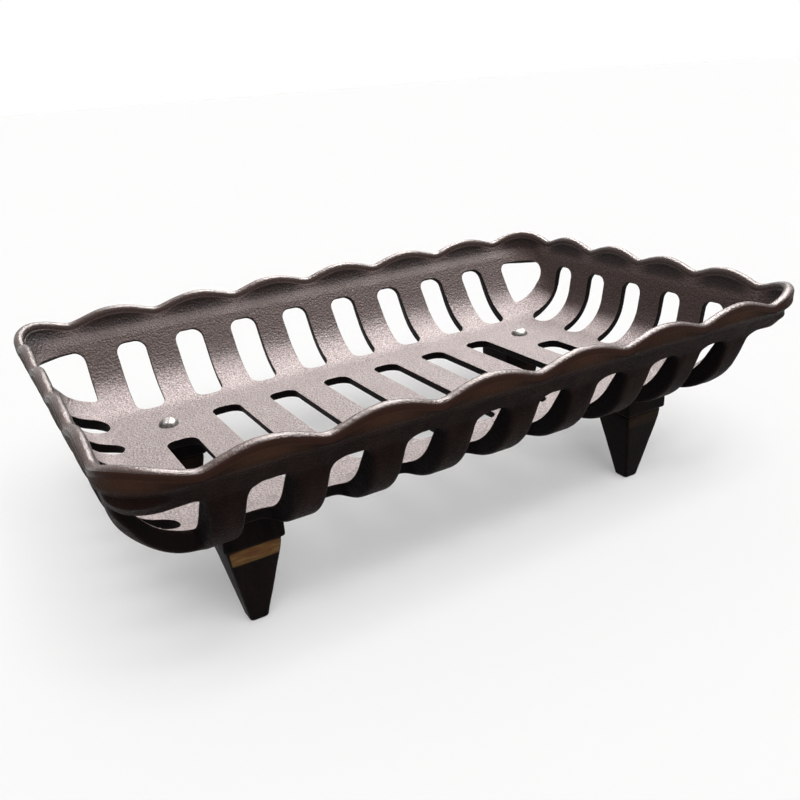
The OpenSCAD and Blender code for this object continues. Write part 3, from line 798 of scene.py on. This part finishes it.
def make_leg(name, sx, sy):
    """A square tapered leg, with the blind hole for its screw in the top."""
    bm = bmesh.new()
    neck = bm.verts.layers.float.new("neck")
    rings = []
    for z, half, r, share in leg_profile():
        rings.append([bm.verts.new((x, y, z)) for x, y in square_ring(half, r)])
        for vert in rings[-1]:
            vert[neck] = share
    join_rings(bm, rings)
    bm.faces.new(rings[-1][::-1])
    hx, hy = sx * (SCREW_X - LEG_X), sy * (SCREW_Y - LEG_Y)
    turns = [2 * math.pi * i / HOLE_AROUND for i in range(HOLE_AROUND)]
    around = [(hx + LEG_HOLE_R * math.cos(a), hy + LEG_HOLE_R * math.sin(a)) for a in turns]
    depths = np.linspace(LEG_H, LEG_H - HOLE_DEPTH, HOLE_RINGS)
    hole = [[bm.verts.new((x, y, z)) for x, y in around] for z in depths]
    join_rings(bm, hole[::-1])
    bm.faces.new(hole[-1])
    close_top(bm, rings[0], hole[0], hx, hy)
    bmesh.ops.recalc_face_normals(bm, faces=bm.faces)
    for vert in bm.verts:
        vert.co = (vert.co + Vector((sx * LEG_X, sy * LEG_Y, 0))) * MM
    bm.normal_update()
    for vert in bm.verts:
        if STILL_FOOT * MM < vert.co.z < (LEG_H - STILL_TOP) * MM:
            vert.co += vert.normal * skin_wave(vert.co, LEG_WAVES)
    return finished(bm, name)


# -------- screws, in mm from the floor
SCREW_R, SCREW_L, THREAD_PITCH, THREAD_DEPTH = 4.0, 28.0, 1.25, 0.65
PLAIN_L, RUN_IN, RUN_OUT, TIP_CHAMFER = 8.0, 2.0, 1.0, 1.2
HEAD_R, HEAD_H, DRIVER_HALF, DRIVER_DEPTH = 9.0, 6.0, 0.9, 1.6
# Power of the head's round profile: 2 is an ellipse, and more gives a fuller shoulder
HEAD_FULL = 2.4
# How far the driver slot's sides lean in at the bottom and out at the top
SLOT_IN, SLOT_OUT = 0.12, 0.16
AROUND, ROWS_PER_PITCH = 96, 8
# Radii of the head's rings, close at the driver slot's sides and at the edge, and the underside's
HEAD_RADII = [0.3, 0.7, 0.85, 0.95, 1.1] + [1.5 + 0.42 * k for k in range(17)]
HEAD_RADII += [HEAD_R - inset for inset in (0.3, 0.15, 0.04, 0.0)]
UNDERSIDE_SHARES = (0.985, 0.55)


def head_point(r, a):
    """A place on the head's round top, with the driver slot sunk in it."""
    x, y = r * math.cos(a), r * math.sin(a)
    z = HEAD_H * math.sqrt(max(1 - (r / HEAD_R) ** HEAD_FULL, 0))
    bottom = HEAD_H - DRIVER_DEPTH
    if z > bottom:
        side = smooth_step(DRIVER_HALF - SLOT_IN, DRIVER_HALF + SLOT_OUT, abs(y))
        z = bottom + (z - bottom) * float(side)
    return (x, y, z)


def shank_radius(z, phase):
    """The shank's radius at a height: plain under the head, then threaded, with a chamfered tip."""
    wave = abs(((z / THREAD_PITCH - phase) % 1.0) - 0.5) * 2
    started = float(smooth_step(PLAIN_L, PLAIN_L + RUN_IN, -z))
    ended = float(smooth_step(SCREW_L - RUN_OUT, SCREW_L, -z))
    tip = float(smooth_step(SCREW_L - TIP_CHAMFER, SCREW_L, -z))
    return SCREW_R - THREAD_DEPTH * wave * (started * (1 - ended)) - tip * TIP_CHAMFER


def make_screw(name, sx, sy, turn):
    """A round head with a driver slot on a threaded shank, from rings of points."""
    bm = bmesh.new()
    turns = [2 * math.pi * i / AROUND for i in range(AROUND)]
    centre = bm.verts.new((0, 0, HEAD_H - DRIVER_DEPTH))
    rings = [[bm.verts.new(head_point(r, a)) for a in turns] for r in HEAD_RADII]
    edge = rings[-1]
    for share in UNDERSIDE_SHARES:
        rings.append([bm.verts.new((v.co.x * share, v.co.y * share, 0.0)) for v in edge])
    rows = int(SCREW_L / (THREAD_PITCH / ROWS_PER_PITCH))
    for k in range(1, rows):
        z = -(k / rows) * SCREW_L
        radii = [shank_radius(z, i / AROUND) for i in range(AROUND)]
        rings.append([bm.verts.new((r * math.cos(a), r * math.sin(a), z)) for r, a in zip(radii, turns)])
    for i in range(AROUND):
        bm.faces.new((centre, rings[0][i], rings[0][(i + 1) % AROUND]))
    join_rings(bm, rings)
    bm.faces.new(rings[-1][::-1])
    bmesh.ops.recalc_face_normals(bm, faces=bm.faces)
    spin = Matrix.Rotation(turn, 3, "Z")
    for vert in bm.verts:
        vert.co = (spin @ vert.co + Vector((sx * SCREW_X, sy * SCREW_Y, FLOOR_Z))) * MM
    return finished(bm, name)


# -------- materials
class Nodes:
    """A node tree, built in small steps."""

    def __init__(self, tree):
        self.tree = tree

    def put(self, value, socket):
        """Links a socket or sets a value, with 1 for the alpha that a colour may lack."""
        if isinstance(value, bpy.types.NodeSocket):
            self.tree.links.new(value, socket)
        elif hasattr(socket.default_value, "__len__") and len(value) < len(socket.default_value):
            socket.default_value = (*value, 1.0)
        else:
            socket.default_value = value

    def node(self, kind, inputs=(), **settings):
        """A node with its settings, and with values or sockets put to its inputs."""
        node = self.tree.nodes.new(kind)
        for key, value in settings.items():
            setattr(node, key, value)
        for key, value in inputs.items() if isinstance(inputs, dict) else enumerate(inputs):
            self.put(value, node.inputs[key])
        return node

    def maths(self, operation, *values):
        return self.node("ShaderNodeMath", values, operation=operation).outputs[0]


class Shader(Nodes):
    """A material's node tree, whose textures follow the places on the object."""

    def __init__(self, name):
        self.material = bpy.data.materials.new(name)
        self.material.use_nodes = True
        super().__init__(self.material.node_tree)
        self.place = self.node("ShaderNodeTexCoord").outputs["Object"]

    def stretched(self, *scale):
        return self.node("ShaderNodeVectorMath", (self.place, scale), operation="MULTIPLY").outputs[0]

    def noise(self, scale, detail=2.0, rough=0.5, place=None, distortion=0.0):
        inputs = {"Vector": place or self.place, "Scale": scale, "Detail": detail, "Roughness": rough,
                  "Distortion": distortion}
        return self.node("ShaderNodeTexNoise", inputs).outputs["Fac"]

    def cells(self, scale):
        inputs = {"Vector": self.place, "Scale": scale, "Smoothness": 0.6}
        return self.node("ShaderNodeTexVoronoi", inputs, feature="SMOOTH_F1").outputs["Distance"]

    def ramp(self, *inputs):
        """A smooth step of a value from low to high, which gives 0 to 1 or what follows."""
        return self.node("ShaderNodeMapRange", inputs, interpolation_type="SMOOTHSTEP").outputs["Result"]

    def times(self, first, *others):
        for other in others:
            first = self.maths("MULTIPLY", first, other)
        return first

    def rest(self, value):
        """1 less a value."""
        return self.maths("SUBTRACT", 1.0, value)

    def mix(self, factor, a, b):
        """A colour between two, which are the node's inputs 6 and 7."""
        return self.node("ShaderNodeMix", {0: factor, 6: a, 7: b}, data_type="RGBA").outputs[2]

    def tags(self, *names):
        """The shares of these names that the mesh holds."""
        return [self.node("ShaderNodeAttribute", attribute_name=name).outputs["Fac"] for name in names]

    def component(self, vector, axis):
        return self.node("ShaderNodeSeparateXYZ", (vector,)).outputs[axis]

    def facing(self, axis):
        """How far the surface faces along an axis, from -1 to 1."""
        return self.component(self.node("ShaderNodeNewGeometry").outputs["Normal"], axis)

    def bump(self, height, distance, strength, normal=None):
        inputs = {"Height": height, "Distance": distance, "Strength": strength}
        if normal:
            inputs["Normal"] = normal
        return self.node("ShaderNodeBump", inputs).outputs["Normal"]

    def finish(self, colour, roughness, normal, metallic, specular):
        surface = next(n for n in self.tree.nodes if n.type == "BSDF_PRINCIPLED")
        for key, value in (("Base Color", colour), ("Roughness", roughness), ("Normal", normal),
                           ("Metallic", metallic), ("Specular IOR Level", specular)):
            self.put(value, surface.inputs[key])
        return self.material


# The first of these is the dark of the speckle and the painted shade under the bead's crests; the second
# is painted shade on the openings' walls.
INSIDE_BLACK, CUT_SHADE_BLACK = (0.008, 0.004, 0.0035), (0.004, 0.003, 0.003)
# The second of these is a pale tone on what faces up: partly worn iron, partly a painted sheen.
INSIDE_DARK, INSIDE_PALE_AND_SHEEN = (0.092, 0.061, 0.056), (0.68, 0.57, 0.56)
OUTSIDE_DARK, OUTSIDE_BROWN = (0.0055, 0.0024, 0.0020), (0.013, 0.0066, 0.0052)
# A lighter tone painted on the band's crests outside, where light falls on the fascia's bulge.
OUTSIDE_RED = (0.034, 0.0172, 0.0112)
# The second of these is bare worn iron on the bead's top, which also stands for its painted highlight.
BEAD_BROWN, BEAD_WORN_AND_HIGHLIGHT = (0.030, 0.014, 0.010), (0.125, 0.086, 0.076)
LEG_DARK, LEG_BROWN = (0.0022, 0.0012, 0.0011), (0.0085, 0.0048, 0.0045)
RUST_GOLD, RUST_RED = (0.165, 0.100, 0.036), (0.10, 0.042, 0.018)
STEEL_DARK, STEEL_LIGHT = (0.09, 0.086, 0.082), (0.30, 0.295, 0.285)
# Heights in metres between which the inside's pale look, worn iron with a painted sheen, ends
PALE_TO, DARK_FROM = 0.130, 0.152
# Depth of the skin's pebbles in metres, inside and outside
PEBBLES_INSIDE, PEBBLES_OUTSIDE = 0.0024, 0.0007


def casting_relief(m, bead, distance):
    """The orange-peel skin of a sand casting, smoother on the worn bead, and its pebbles."""
    pebble, fine, dimple = m.noise(620.0, 2.0, 0.6), m.noise(1300.0, 2.0, 0.6), m.cells(480.0)
    height = m.maths("ADD", m.times(pebble, 0.6), m.times(dimple, 0.5))
    normal = m.bump(m.times(height, m.rest(m.times(bead, 0.8))), distance, 0.9)
    return pebble, m.bump(fine, 0.0005, 0.6, normal)


def painted_cut_shade(m, colour, cut, up):
    """Painted shade: black walls in the openings, but for what faces up."""
    return m.mix(m.times(cut, m.rest(m.ramp(up, 0.1, 0.75))), colour, CUT_SHADE_BLACK)


def worn_bead_and_highlight(m, colour, bead, up):
    """Bare iron where hands and logs rub the top of the bead, paler on what faces up, which also paints
    the bead's thin highlight.
    """
    rub = m.ramp(m.noise(55.0, 4.0, 0.6), 0.3, 0.55, 0.35, 1.0)
    colour = m.mix(m.times(bead, 0.8), colour, BEAD_BROWN)
    return m.mix(m.times(bead, m.ramp(up, 0.6, 1.0), rub), colour, BEAD_WORN_AND_HIGHLIGHT)


def inside_iron():
    """The basket's inside: pale on the floor and bends, worn iron with a painted sheen, painted shade
    under the bead's crests, and dark up the walls.
    """
    m = Shader("basket_iron_inside")
    bead, cut, crests = m.tags("bead", "cut", "crest")
    up = m.facing("Z")
    pebble, normal = casting_relief(m, bead, PEBBLES_INSIDE)
    speckle = m.ramp(m.noise(800.0, 1.0, 0.5), 0.36, 0.64, 0.45, 1.05)
    grain = m.times(speckle, m.ramp(pebble, 0.3, 0.7, 0.7, 1.05))
    patch = m.ramp(m.noise(18.0, 3.0, 0.55), 0.25, 0.6, 0.85, 1.0)
    # Painted sheen with worn iron: paler where the inside faces up, on the floor and bends, and not up
    # the walls.
    worn_pale_and_sheen = m.times(m.ramp(up, 0.45, 0.90), m.ramp(up, 0.93, 0.995, 1.0, 0.62), patch)
    high = m.ramp(m.component(m.place, "Z"), PALE_TO, DARK_FROM)
    colour = m.mix(grain, INSIDE_BLACK, INSIDE_DARK)
    colour = m.mix(m.times(worn_pale_and_sheen, m.rest(high), grain), colour, INSIDE_PALE_AND_SHEEN)
    # Painted shade under the bead at each crest.
    colour = m.mix(m.times(crests, 0.9), colour, INSIDE_BLACK)
    colour = worn_bead_and_highlight(m, painted_cut_shade(m, colour, cut, up), bead, up)
    rough = m.ramp(m.maths("ADD", pebble, m.times(bead, -0.3)), 0.2, 0.7, 0.22, 0.56)
    dull = m.times(high, m.rest(bead), 0.25)
    return m.finish(colour, m.maths("ADD", rough, dull), normal, 0.0, 0.36)


def outside_iron():
    """The basket's outside: dark brown, with a lighter reddish tone painted on the band's crests where
    light falls on the fascia.
    """
    m = Shader("basket_iron_outside")
    bead, cut, crests = m.tags("bead", "cut", "crest")
    up = m.facing("Z")
    pebble, normal = casting_relief(m, bead, PEBBLES_OUTSIDE)
    streak = m.noise(60.0, 3.0, 0.6, m.stretched(1.0, 1.0, 0.12))
    patch = m.ramp(m.noise(22.0, 3.0, 0.55), 0.2, 0.6, 0.5, 1.0)
    colour = m.mix(m.ramp(streak, 0.3, 0.7), OUTSIDE_DARK, OUTSIDE_BROWN)
    # Painted light: a lighter reddish tone on the fascia at the crests.
    colour = m.mix(m.times(crests, patch), colour, OUTSIDE_RED)
    colour = worn_bead_and_highlight(m, painted_cut_shade(m, colour, cut, up), bead, up)
    rough = m.ramp(m.maths("ADD", pebble, m.times(bead, -0.5)), 0.1, 0.7, 0.26, 0.62)
    return m.finish(colour, rough, normal, 0.0, 0.02)


def leg_iron(name, rust):
    """The legs' smoother iron, with a rusty band of some strength on the neck's front."""
    m = Shader(name)
    streak = m.noise(90.0, 3.0, 0.6, m.stretched(1.0, 1.0, 0.15))
    patch = m.ramp(m.noise(30.0, 3.0, 0.55), 0.5, 0.8, 0.0, 0.35)
    colour = m.mix(m.ramp(streak, 0.35, 0.7), LEG_DARK, LEG_BROWN)
    front = m.ramp(m.times(m.facing("Y"), -1.0), 0.75, 0.95)
    grain = m.noise(140.0, 3.0, 0.65, m.stretched(0.25, 1.0, 1.6), 0.4)
    rusty = m.mix(m.ramp(grain, 0.35, 0.65), RUST_GOLD, RUST_RED)
    colour = m.mix(m.times(*m.tags("neck"), front, rust), colour, rusty)
    colour = m.mix(patch, colour, LEG_BROWN)
    normal = m.bump(m.noise(260.0, 3.0, 0.55), 0.0009, 0.4)
    normal = m.bump(m.noise(1300.0, 2.0, 0.6), 0.0002, 0.35, normal)
    return m.finish(colour, m.ramp(streak, 0.3, 0.7, 0.42, 0.6), normal, 0.0, 0.03)


def screw_steel():
    """Bright steel with grey patches."""
    m = Shader("screw_steel")
    colour = m.mix(m.ramp(m.noise(260.0, 3.0, 0.6), 0.35, 0.7), STEEL_DARK, STEEL_LIGHT)
    rough = m.ramp(m.noise(1800.0, 2.0, 0.5), 0.3, 0.7, 0.42, 0.58)
    return m.finish(colour, rough, m.bump(m.noise(500.0, 2.0, 0.5), 0.0004, 0.3), 1.0, 0.5)


def dressed(piece, node, slot, *materials):
    """Puts a piece in its node's place, with its materials; its slot is not used."""
    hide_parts(node)
    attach(piece, "root")
    for material in materials:
        piece.data.materials.append(material)


dressed(make_basket(), "basket", "basket_iron", inside_iron(), outside_iron())
# The rust's strength in each of the legs' materials
RUST = {"leg_iron_rusty": 1.0, "leg_iron_faint": 0.08, "leg_iron": 0.06}
irons = {name: leg_iron(name, rust) for name, rust in RUST.items()}
steel = screw_steel()
# [corner, its sides, the leg's material, the turn of the screw]
CORNERS = (("front_left", -1, -1, "leg_iron_rusty", 0.5), ("front_right", 1, -1, "leg_iron_faint", 2.1),
           ("back_left", -1, 1, "leg_iron", 1.2), ("back_right", 1, 1, "leg_iron", 2.7))
for corner, sx, sy, iron, turned in CORNERS:
    dressed(make_leg("cast_leg_" + corner, sx, sy), "leg_" + corner, "leg_iron", irons[iron])
    dressed(make_screw("round_screw_" + corner, sx, sy, turned), "screw_" + corner, "screw_steel", steel)


# -------- floor, light and background
WHITE, WARM_WHITE, REFLECTED_TINT = (1.0, 1.0, 1.0, 1.0), (1.0, 0.985, 0.97, 1.0), (1.0, 0.93, 0.91)
WORLD_LIGHT = 0.3
FLOOR_GREY, FLOOR_GLOW, FLOOR_SIZE = (0.62, 0.618, 0.616, 1.0), 0.28, 20.0


def seen_share(nodes):
    """1 for rays that show the background: from the camera, or after a mirror or glass."""
    rays = nodes.node("ShaderNodeLightPath").outputs
    seen = nodes.maths("MAXIMUM", rays["Is Camera Ray"], rays["Is Glossy Ray"])
    return nodes.maths("MAXIMUM", seen, rays["Is Transmission Ray"])


def make_world():
    """Soft light from all round, and plain white where the camera sees past the floor."""
    world = bpy.data.worlds.new("studio")
    world.use_nodes = True
    nodes = Nodes(world.node_tree)
    light = nodes.tree.nodes["Background"]
    for value, socket in zip((WARM_WHITE, WORLD_LIGHT), light.inputs):
        nodes.put(value, socket)
    white = nodes.node("ShaderNodeBackground", (WHITE, 1.0))
    mix = nodes.node("ShaderNodeMixShader", (seen_share(nodes), light.outputs[0], white.outputs[0]))
    nodes.put(mix.outputs[0], nodes.tree.nodes["World Output"].inputs["Surface"])
    bpy.context.scene.world = world


def make_floor():
    """A light floor that takes shadows and glows a little, so that it looks nearly white."""
    bm = bmesh.new()
    bmesh.ops.create_grid(bm, x_segments=2, y_segments=2, size=FLOOR_SIZE)
    floor = finished(bm, "studio_floor")
    material = bpy.data.materials.new("studio_floor")
    material.use_nodes = True
    nodes = Nodes(material.node_tree)
    nodes.tree.nodes.remove(nodes.tree.nodes["Principled BSDF"])
    diffuse = nodes.node("ShaderNodeBsdfDiffuse", (FLOOR_GREY,))
    strength = nodes.maths("MULTIPLY", seen_share(nodes), FLOOR_GLOW)
    glow = nodes.node("ShaderNodeEmission", (WHITE, strength))
    both = nodes.node("ShaderNodeAddShader", (diffuse.outputs[0], glow.outputs[0]))
    nodes.put(both.outputs[0], nodes.tree.nodes["Material Output"].inputs["Surface"])
    floor.data.materials.append(material)


def make_sun(name, direction, strength, spread, reflected=False):
    """A sun that gives either the diffuse light or only reflections."""
    data = bpy.data.lights.new(name, "SUN")
    data.energy, data.angle = strength, math.radians(spread)
    data.color = REFLECTED_TINT if reflected else WHITE[:3]
    lamp = bpy.data.objects.new(name, data)
    lamp.rotation_euler = Vector(direction).to_track_quat("Z", "Y").to_euler()
    lamp.visible_diffuse, lamp.visible_glossy = not reflected, reflected
    bpy.context.scene.collection.objects.link(lamp)


# The camera's place and turn, solved from the photograph's rim, slots, screws and legs, and its
# focal length in the photograph's pixels
CAMERA_AT = Vector((-0.35824, -0.63515, 0.28568 + FLOOR_Z * MM))
CAMERA_TURN = Vector((1.8771372, -0.5599414, 0.2890235))
FOCAL_PX, PHOTO_PX, SENSOR_MM = 834.95, 800, 36


def make_camera():
    """The photograph's camera, whose solved turn has y down and z forward."""
    data = bpy.data.cameras.new("camera")
    data.sensor_width = SENSOR_MM
    data.lens = FOCAL_PX / PHOTO_PX * SENSOR_MM
    camera = bpy.data.objects.new("camera", data)
    bpy.context.scene.collection.objects.link(camera)
    turn = Matrix.Rotation(CAMERA_TURN.length, 3, CAMERA_TURN.normalized())
    axes = Matrix((turn[0], -turn[1], -turn[2])).transposed()
    camera.matrix_world = Matrix.Translation(CAMERA_AT) @ axes.to_4x4()
    bpy.context.scene.camera = camera


make_world()
make_floor()
make_sun("key", (-0.10, -0.52, 0.85), 3.1, 48)
make_sun("sheen", (0.45, 0.10, 0.9), 10.0, 34, reflected=True)
make_sun("glint", (0.43, 0.56, 0.70), 4.0, 26, reflected=True)
make_camera()
bpy.context.scene.view_settings.view_transform = "Standard"
